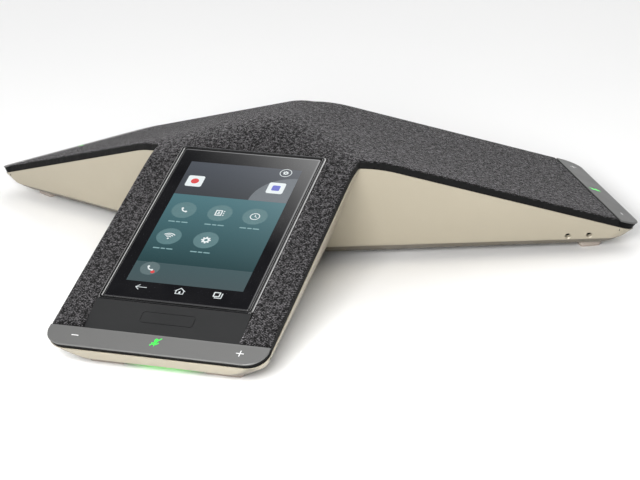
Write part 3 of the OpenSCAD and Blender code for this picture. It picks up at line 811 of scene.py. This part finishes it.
def cover_half(cloth, turn, side, front):
    """Half of one leg's cover. The front leg's stops at the screen's opening."""
    leg = on_leg(turn)
    place = lambda u, v, z: leg(u, side * v, z)
    bend, normals = valley_bend()
    edge = bend - normals * EDGE_RADIUS

    # every seam between two legs follows the spacing of the edge of the patch by the screen
    brim = brim_points()
    steps = np.linalg.norm(np.diff(brim, axis=0), axis=1)
    share = np.concatenate([[0], np.cumsum(steps) / steps.sum()])
    plain = np.column_stack([np.full(len(brim), HUB_END), share * (FABRIC_HALF - EDGE_RADIUS)])
    last = brim if front else plain
    spine = np.column_stack([np.linspace(0, OPEN_TOP if front else HUB_END, len(bend)), np.zeros(len(bend))])
    patch = transfinite(edge[0] * share[:, None], last, spine, edge)
    cloth.grid(*dress(patch, normals, np.zeros(len(bend))), place)

    first_column = len(brim) - SIDE_COLUMNS - 1 if front else 0
    far, drop = leg_rows()
    straight = np.array([[(u, v) for v in last[first_column:, 1]] for u in far])
    ahead = np.concatenate([patch[-1:, first_column:], straight])
    sideways = np.tile([0.0, 1.0], (len(ahead), 1))
    cloth.grid(*dress(ahead, sideways, np.concatenate([[0], drop])), place)
    if front:
        screen_lip(cloth, place, brim, far, drop)


def paint_hem_shade(mesh):
    """Marks how far each point of the cover has turned down over the edge, for the painted shade there."""
    points = np.empty(len(mesh.vertices) * 3)
    mesh.vertices.foreach_get("co", points)
    x, y, z = points.reshape(-1, 3).T / MM
    fall = top_z(x, y - HUB_Y) - z
    hem = mesh.attributes.new("hem", "FLOAT", "POINT")
    hem.data.foreach_set("value", np.clip((fall - 0.25) / 0.6, 0, 1))


def build_cover(material):
    """The whole cover as one sheet of knit with its real thickness."""
    cloth = Cloth()
    for name, turn in LEGS.items():
        for side in (-1, 1):
            cover_half(cloth, turn, side, name == "front")
    bmesh.ops.remove_doubles(cloth.bm, verts=cloth.bm.verts, dist=2e-6)
    area = sum(f.calc_area() for f in cloth.bm.faces)
    piece = finish_mesh(cloth.bm, "knit_cover", material, sharp=60, replaced=["fabric_cover"])
    if piece.data.polygons[0].normal.z < 0:
        piece.data.flip_normals()
    paint_hem_shade(piece.data)
    skin = piece.modifiers.new("thickness", "SOLIDIFY")
    skin.thickness = 0.3 * MM
    skin.offset = -1


# ---------- leg-end parts


def end_outline(start, half, length, r):
    """Plan outline of a leg's end beyond start, with round outer corners."""
    corners = arc(length - r, r - half, r, -90, 0, 14) + arc(length - r, half - r, r, 0, 90, 14)
    return [(start, -half)] + corners + [(start, half)]


def build_touch_bar(name, turn, material):
    """Thin cap across a leg's end, with a rounded upper edge."""
    bm = bmesh.new()
    outline = end_outline(BAR_START + 0.25, LEG_HALF, LEG_LEN, TIP_RADIUS)
    profile = [(0.2, -BAR_EDGE), (0.02, -BAR_EDGE + 0.1), (0, -0.5), (0.05, -0.3), (0.2, -0.08), (0.4, 0.0),
               (1.2, 0.0)]
    stack(bm, outline, profile, on_top(turn))
    finish_mesh(bm, name + "_bar_plate", material, replaced=[name + "_touch_bar"])


def build_end_tray(name, turn, material):
    """Black tray between a touch bar and the base, whose outer end leans in with the base's."""
    neck, foot = 2.6, 0.5
    top = on_top(turn)
    rings = []
    for margin, drop in ((neck, BAND - 0.9), (neck, BAR_EDGE), (foot, BAR_EDGE), (foot, BAND)):
        start = BAR_START + 0.2 + max(0, margin - 1)
        outline = end_outline(start, LEG_HALF - margin, end_at_drop(drop) - margin, TIP_RADIUS - margin)
        rings.append([top(u, v, -drop) for u, v in outline])
    bm = bmesh.new()
    loft(bm, rings)
    finish_mesh(bm, name + "_end_tray", material, sharp=30, replaced=[name + "_end_cap"])


def stroke(points, width):
    """Outline of a line of some width through points, with square ends."""
    p = np.array(points, float)
    d = np.gradient(p, axis=0)
    d /= np.linalg.norm(d, axis=1)[:, None]
    side = np.column_stack([-d[:, 1], d[:, 0]]) * width / 2
    return [tuple(q) for q in np.concatenate([p + side, (p - side)[::-1]])]


def mic_glyph():
    """Shapes of a crossed-out microphone, x to the right and y up, about 7 tall."""
    body = arc(0, 1.7, 1.15, 0, 180, 10) + arc(0, -0.2, 1.15, 180, 360, 10)
    cradle = stroke(arc(0, 0.1, 2.15, 190, 350, 14), 0.6)
    stem = stroke([(0, -2.1), (0, -3.3)], 0.6)
    slash = stroke([(-2.9, -2.9), (3.0, 3.3)], 0.7)
    return [[body], [cradle], [stem], [slash]]


def build_signs(name, turn, lamp, white):
    """The lit microphone and the minus and plus marks of a touch bar."""
    sunk, proud = -0.3, 0.02
    centre, mark_y = BAR_START + 5.2, -1.2
    top = on_top(turn)
    place = lambda x, y, h: top(centre - y, x, h)
    bm = bmesh.new()
    slab(bm, mic_glyph(), lambda x, y, h: place(0.8 * x, 0.85 * y, h), sunk, proud)
    finish_mesh(bm, name + "_mic_sign", lamp, replaced=[name + "_touch_signs"])
    bm = bmesh.new()
    thin = 0.24
    for v, bars in ((-41.8, [(1.8, thin)]), (43.8, [(2.0, thin), (thin, 2.0)])):
        for x, y in bars:
            slab(bm, [[rect(v - x, v + x, mark_y - y, mark_y + y)]], place, sunk, proud)
    finish_mesh(bm, name + "_volume_marks", white)


def build_foot(name, turn, material):
    """Rubber foot with a notch in its outer side for the light strip."""
    half, start = GLOW_HALF + FIT, FOOT_OUT - 1.9
    notch = [(FOOT_OUT, -half), (start, -half), (start, half), (FOOT_OUT, half)]
    outline = rounded_rect(FOOT_IN, FOOT_OUT, FOOT_HALF, 2.5) + notch
    profile = [(0, BASE_Z + 0.9), (0, 1.5), (0.12, 1.1), (0.9, 0.12), (1.2, 0)]
    bm = bmesh.new()
    stack(bm, outline, profile, on_leg(turn))
    finish_mesh(bm, name + "_rubber_foot", material, sharp=30, replaced=[name + "_foot"])


def build_glow(name, turn, material):
    """Light guide in the foot's notch."""
    outline = rect(FOOT_OUT - 1.8, FOOT_OUT - 0.05, -GLOW_HALF, GLOW_HALF)
    bm = bmesh.new()
    stack(bm, outline, [(0.2, 0.85), (0, 1.1), (0, BASE_Z + 0.85)], on_leg(turn))
    finish_mesh(bm, name + "_light_strip", material, sharp=30, replaced=[name + "_glow_bar"])


# ---------- screen


def build_screen_frame(material):
    """Metal frame round the glass, hollow inside."""
    bm = bmesh.new()
    outline = rounded_rect(FRAME_START, FRAME_START + FRAME_LEN, FRAME_HALF, 2.4, 10)
    depth, ledge = -6.8, -0.25
    profile = [(0, depth), (0, 0.5), (0.1, 0.75), (0.3, 0.93), (0.55, FRAME_RISE), (1.5, FRAME_RISE),
               (1.75, 0.95), (1.92, 0.8), (1.98, 0.55), (2.0, ledge), (4.9, ledge), (4.9, depth)]
    stack(bm, outline, profile, on_slope, around=True)
    finish_mesh(bm, "screen_frame", material, sharp=50, replaced=["display_frame"])


def build_glass(material):
    """Cover glass with a softened edge."""
    bm = bmesh.new()
    outline = rounded_rect(FRAME_START + 2.2, FRAME_START + FRAME_LEN - 2.2, FRAME_HALF - 2.3, 1.5, 8)
    profile = [(0, -0.24), (0, 0.35), (0.06, 0.6), (0.2, 0.74), (0.45, GLASS_TOP), (1.2, GLASS_TOP)]
    stack(bm, outline, profile, on_slope)
    finish_mesh(bm, "screen_glass", material, sharp=50, replaced=["cover_glass"])


def screen_s(u):
    """Distance down the slope of a point of the glass that is u from the hub axis."""
    return (u - GLASS_TOP * math.sin(SLOPE_ANGLE)) / math.cos(SLOPE_ANGLE)


SCREEN_HALF = 31.1
HEADER_TOP = screen_s(50)
PANEL_TOP = screen_s(77)
STRIP_TOP = screen_s(130.7)
PANEL_END = screen_s(145.3)

# Places of the round buttons and small signs, as (distance from the hub axis, v)
CIRCLES = [(89.4, -20.9), (89.2, -1.1), (89.4, 18.2), (110.5, -21.3), (110.7, -1.0)]
END_CALL = (135.4, -22.1)
SETTINGS = (53, 23)
TILE_U = 65.8
KEY_U = 149.5


def circle(x, y, r, steps=40):
    return arc(x, y, r, 0, 360 - 360 / steps, steps - 1)


def rounded_corners(x0, y0, x1, y1, r):
    """Outline of a rectangle with round corners, for the screen's signs."""
    return (arc(x1 - r, y1 - r, r, 0, 90, 4) + arc(x0 + r, y1 - r, r, 90, 180, 4)
            + arc(x0 + r, y0 + r, r, 180, 270, 4) + arc(x1 - r, y0 + r, r, 270, 360, 4))


def handset_glyph():
    bow = stroke(arc(1.3, 1.3, 2.5, 185, 265, 10), 0.75)
    return [[bow], [circle(-1.1, 1.4, 0.66, 16)], [circle(1.4, -1.1, 0.66, 16)]]


def card_glyph():
    frame_lines = [rounded_corners(-2.5, -2.3, 1.2, 2.3, 0.4), rounded_corners(-1.9, -1.7, 0.6, 1.7, 0.3)]
    tabs = [[rounded_corners(1.8, y - 0.4, 2.4, y + 0.4, 0.15)] for y in (-1.6, 0, 1.6)]
    return [frame_lines, [circle(-0.65, 0.6, 0.6, 16)], [rounded_corners(-1.5, -1.1, 0.2, -0.4, 0.2)]] + tabs


def clock_glyph():
    return [[circle(0, 0, 2.7), circle(0, 0, 2.2)], [stroke([(0, 1.4), (0, 0), (1.1, -0.5)], 0.45)]]


def waves_glyph():
    waves = [[stroke(arc(0, -1.7, r, 45, 135, 12), 0.55)] for r in (1.7, 2.9, 4.1)]
    return [[circle(0, -1.7, 0.55, 16)]] + waves


def gear_glyph(size=1.0):
    teeth, root, tip = 8, 1.95, 2.6
    outer = []
    for i in range(teeth):
        for part, r in ((-0.32, root), (-0.2, tip), (0.2, tip), (0.32, root)):
            a = 2 * math.pi * (i + part) / teeth
            outer.append((size * r * math.cos(a), size * r * math.sin(a)))
    return [[outer, circle(0, 0, 0.95 * size, 20)]]


def back_glyph():
    return [[stroke([(3, 0), (-2.8, 0)], 0.36)], [stroke([(-1.0, 1.8), (-2.9, 0), (-1.0, -1.8)], 0.42)]]


def home_glyph():
    outer = [(-2.9, -0.1), (0, 2.5), (2.9, -0.1), (2.2, -0.1), (2.2, -2.3), (-2.2, -2.3), (-2.2, -0.1)]
    inner = [(-1.8, 0.2), (0, 1.95), (1.8, 0.2), (1.8, -1.95), (-1.8, -1.95)]
    return [[outer, inner], [rect(-0.45, 0.45, -1.8, -0.3)]]


def recents_glyph():
    return [[rounded_corners(-2.4, -1.5, 1.2, 2.1, 0.4), rounded_corners(-1.8, -0.9, 0.6, 1.5, 0.3)],
            [stroke([(2.2, 1.3), (2.2, -2.3), (-1.4, -2.3)], 0.6)]]


def screen_paints():
    """One lit material for each kind of area on the screen."""
    plain = {"disc": (0.055, 0.165, 0.180), "pale": (0.105, 0.125, 0.145), "dim": (0.070, 0.125, 0.135),
             "white": (0.80, 0.86, 0.87), "label": (0.20, 0.38, 0.40), "red": (0.70, 0.02, 0.02),
             "blue": (0.10, 0.12, 0.55)}
    paints = {name: glowing("ui_" + name, colour, 1.0) for name, colour in plain.items()}
    for name, high, low, start, end in (
            ("header", (0.050, 0.060, 0.078), (0.030, 0.035, 0.042), HEADER_TOP, PANEL_TOP),
            ("panel", (0.060, 0.165, 0.190), (0.004, 0.038, 0.044), PANEL_TOP, STRIP_TOP),
            ("strip", (0.045, 0.088, 0.098), (0.050, 0.080, 0.088), STRIP_TOP, PANEL_END)):
        paints[name] = screen_shade("ui_" + name, high, low, start, end)
    return paints


def build_screen():
    """The lit picture: plain panels, discs and signs, each a thin plate on the one below."""
    ui = screen_paints()

    def plate(name, shapes, layer, paint, at=(0, 0)):
        """A plate of some layer, centred at a (distance down the slope, v)."""
        bm = bmesh.new()
        slab(bm, shapes, lambda x, y, h: on_slope(at[0] - y, at[1] + x, h),
             GLASS_TOP - 0.02, GLASS_TOP + 0.035 * layer)
        finish_mesh(bm, "screen_" + name, ui[paint], sharp=30)

    def area(start, end):
        return [[rect(-SCREEN_HALF, SCREEN_HALF, -start, -end)]]

    plate("header", area(HEADER_TOP, PANEL_TOP), 1, "header")
    quarter = [(SCREEN_HALF, -PANEL_TOP)] + arc(SCREEN_HALF, -PANEL_TOP, 21, 90, 180, 20)
    plate("quarter", [[quarter]], 1.4, "pale")
    plate("panel", area(PANEL_TOP, STRIP_TOP), 1, "panel")
    plate("strip", area(STRIP_TOP, PANEL_END), 1, "strip")
    glyphs = [handset_glyph(), card_glyph(), clock_glyph(), waves_glyph(), gear_glyph()]
    words = [[rounded_corners(x, -10.3, x + w, -9.5, 0.3)] for x, w in ((-5.2, 3.6), (-1.0, 2.4), (2.0, 3.4))]
    for number, ((u, v), glyph) in enumerate(zip(CIRCLES, glyphs)):
        at = (screen_s(u), v)
        plate(f"disc_{number}", [[circle(0, 0, 6.6, 56)]], 2, "disc", at)
        plate(f"sign_{number}", glyph, 3, "white", at)
        plate(f"label_{number}", words, 2, "label", at)
    at = (screen_s(END_CALL[0]), END_CALL[1])
    plate("disc_end", [[circle(0, 0, 5.1, 48)]], 2, "dim", at)
    plate("sign_end", handset_glyph(), 3, "white", at)
    plate("dot_end", [[circle(2.3, -2.6, 1.1, 24)]], 4, "red", at)
    at = (screen_s(SETTINGS[0]), SETTINGS[1])
    plate("gear_ring", [[circle(0, 0, 3.3), circle(0, 0, 2.95)]], 2, "white", at)
    plate("gear", gear_glyph(0.6), 2, "white", at)
    for name, v, sign, paint in (("left", -23.5, circle(0, 0, 2.2, 28), "red"),
                                 ("right", 21.7, rounded_corners(-2.2, -2.2, 2.2, 2.2, 0.8), "blue")):
        at = (screen_s(TILE_U), v)
        plate("tile_" + name, [[rounded_corners(-4.6, -4.6, 4.6, 4.6, 1.2)]], 2, "white", at)
        plate("tile_sign_" + name, [[sign]], 3, paint, at)
    for name, v, glyph in (("back", -21.4, back_glyph()), ("home", -0.6, home_glyph()),
                           ("recents", 19.4, recents_glyph())):
        plate("key_" + name, glyph, 1, "white", (screen_s(KEY_U), v))


# ---------- materials by slot

MATERIALS = {
    "base_plastic": champagne(),
    "carrier_plastic": moulded("carrier_plastic", (0.014, 0.014, 0.015), 0.55),
    "cover_fabric": knit(),
    "bar_metal": moulded("bar_paint", (0.098, 0.098, 0.096), 0.42, grain=2600, depth=0.00002, vary=0.03,
                         Metallic=0.15),
    "black_plastic": moulded("black_plastic", (0.003, 0.003, 0.003), 0.7, Specular_IOR_Level=0.1),
    "circuit_board": circuit("circuit_board"),
    "sign_light": glowing("sign_white", (0.80, 0.82, 0.80), 0.35, (0.5, 0.5, 0.5), 0.4),
    "foot_rubber": rubber("foot_rubber", (0.36, 0.31, 0.27)),
    "light_guide": light_strip(),
    "seal_rubber": rubber("seal_rubber", (0.016, 0.016, 0.016)),
    "ribbon_film": moulded("ribbon_film", (0.34, 0.22, 0.08), 0.35, grain=500),
    "frame_metal": frame_metal_painted_highlight(),
    "cover_glass": black_glass(),
    "screen": glowing("panel_glow", (0.05, 0.2, 0.25), 0.3),
    "steel": metal("steel", (0.62, 0.62, 0.60)),
    "chin_plastic": moulded("chin_plastic", (0.007, 0.0073, 0.0077), 0.5, grain=2400, depth=0.00003,
                             Specular_IOR_Level=0.35),
    "copper": metal("copper", (0.72, 0.36, 0.18), 0.35, (1500, 1500, 60)),
    "cone_paper": moulded("cone_paper", (0.014, 0.014, 0.015), 0.8, grain=400, depth=0.0001, vary=0.25),
    "spider_cloth": moulded("spider_cloth", (0.42, 0.27, 0.08), 0.85, grain=1600, depth=0.0001),
    "magnet": metal("magnet", (0.16, 0.16, 0.17), 0.45, (300, 300, 300)),
    "component_black": moulded("component_black", (0.018, 0.018, 0.02), 0.5),
    "wire_red": rubber("wire_red", (0.30, 0.02, 0.015), 0.5),
}
SIGN_GREEN = glowing("sign_green", (0.05, 0.90, 0.10), 1.0, (0.02, 0.2, 0.02))

for part in frame["record"]["subparts"]:
    mesh = NODES[part["node"]].data
    mesh.materials.clear()
    mesh.materials.append(MATERIALS[part["material_slot"]])

build_base(MATERIALS["base_plastic"])
build_cover(MATERIALS["cover_fabric"])
for leg_name, leg_turn in LEGS.items():
    build_touch_bar(leg_name, leg_turn, MATERIALS["bar_metal"])
    build_end_tray(leg_name, leg_turn, MATERIALS["black_plastic"])
    build_signs(leg_name, leg_turn, SIGN_GREEN, MATERIALS["sign_light"])
    build_foot(leg_name, leg_turn, MATERIALS["foot_rubber"])
    build_glow(leg_name, leg_turn, MATERIALS["light_guide"])
build_screen_frame(MATERIALS["frame_metal"])
build_glass(MATERIALS["cover_glass"])
build_screen()

# ---------- floor, lights, camera

# Brightness of the room and of the lamp in it, by direction as the object sees them
ROOM = 0.92
LAMP = 3.4

# The camera looks at the hub axis, from degrees and millimetres, and is moved across its view a little
AZIMUTH = 18.178
ELEVATION = 20.291
ROLL_TURN = -1.0
DISTANCE = 1238.1
MOVE_RIGHT = 22.54
MOVE_UP = 4.91
LENS = 124.11


def plain_floor():
    mesh = bpy.data.meshes.new("floor")
    mesh.from_pydata([(x, y, 0) for x, y in rect(-6, 6, -6, 6)], [], [(0, 1, 2, 3)])
    made = add_object("floor", mesh)
    s = Shader("floor_paper", Roughness=0.9)
    s.mottle(s.noise(3, 2), (0.93, 0.93, 0.93), (0.95, 0.95, 0.945))
    mesh.materials.append(s.material)


def area_light(name, place, aim, size, power):
    data = bpy.data.lights.new(name, "AREA")
    data.shape = "RECTANGLE"
    data.size, data.size_y = size
    data.energy = power
    made = add_object(name, data)
    made.location = place
    made.rotation_mode = "QUATERNION"
    made.rotation_quaternion = (Vector(aim) - Vector(place)).to_track_quat("-Z", "Y")


def sky_patch(tree, direction, centre, inner, outer):
    """1 inside a round patch of the sky and 0 outside it, with a soft edge between two radii."""
    gap = tree.nodes.new("ShaderNodeVectorMath")
    gap.operation = "DISTANCE"
    tree.links.new(direction, gap.inputs[0])
    gap.inputs[1].default_value = Vector(centre).normalized()
    edge = tree.nodes.new("ShaderNodeMapRange")
    edge.interpolation_type = "SMOOTHSTEP"
    tree.links.new(gap.outputs["Value"], edge.inputs["Value"])
    edge.inputs["From Min"].default_value = outer
    edge.inputs["From Max"].default_value = inner
    return edge.outputs[0]


def sky_mix(tree, factor, start, end):
    """start where factor is 0 and end where it is 1; start may be another node's output."""
    made = tree.nodes.new("ShaderNodeMix")
    made.data_type = "FLOAT"
    tree.links.new(factor, made.inputs[0])
    if hasattr(start, "is_output"):
        tree.links.new(start, made.inputs[2])
    else:
        made.inputs[2].default_value = start
    made.inputs[3].default_value = end
    return made.outputs[0]


def studio():
    """A white room with black flags over the left back and low on the right, and a soft lamp."""
    world = bpy.data.worlds.new("studio")
    bpy.context.scene.world = world
    world.use_nodes = True
    tree = world.node_tree
    direction = tree.nodes.new("ShaderNodeTexCoord").outputs["Generated"]
    lamp = sky_patch(tree, direction, (-0.124, 0.633, 0.764), 0.16, 0.27)
    over_flag = sky_patch(tree, direction, (-0.45, 0.34, 0.82), 0.20, 0.262)
    side_flag = sky_patch(tree, direction, (0.66, -0.72, 0.2), 0.5, 1.15)
    light = sky_mix(tree, lamp, ROOM, LAMP)
    light = sky_mix(tree, side_flag, light, 0.05)
    light = sky_mix(tree, over_flag, light, 0.03)
    background = tree.nodes["Background"]
    background.inputs[0].default_value = (1, 1, 1, 1)
    tree.links.new(light, background.inputs[1])
    area_light("key", (-1.5, -1.3, 1.1), (0, 0, 0.03), (1.2, 1.0), 8)
    area_light("front", (0.13, -0.62, 0.30), (0.05, 0.02, 0.03), (0.25, 0.2), 5.9)
    bpy.context.scene.view_settings.view_transform = "Standard"


def photo_camera():
    azimuth, elevation, roll = (math.radians(a) for a in (AZIMUTH, ELEVATION, ROLL_TURN))
    back = Vector((math.sin(azimuth) * math.cos(elevation), -math.cos(azimuth) * math.cos(elevation),
                   math.sin(elevation)))
    level = Vector((math.cos(azimuth), math.sin(azimuth), 0))
    up = back.cross(level)
    right_axis = math.cos(roll) * level + math.sin(roll) * up
    up_axis = -math.sin(roll) * level + math.cos(roll) * up
    spot = (Vector((0, HUB_Y, 0)) + back * DISTANCE + right_axis * MOVE_RIGHT + up_axis * MOVE_UP) * MM
    data = bpy.data.cameras.new("camera")
    data.lens = LENS
    data.sensor_width = 36
    data.clip_start = 0.05
    made = add_object("camera", data)
    made.matrix_world = Matrix.Translation(spot) @ Matrix((right_axis, up_axis, back)).transposed().to_4x4()
    bpy.context.scene.camera = made


plain_floor()
studio()
photo_camera()
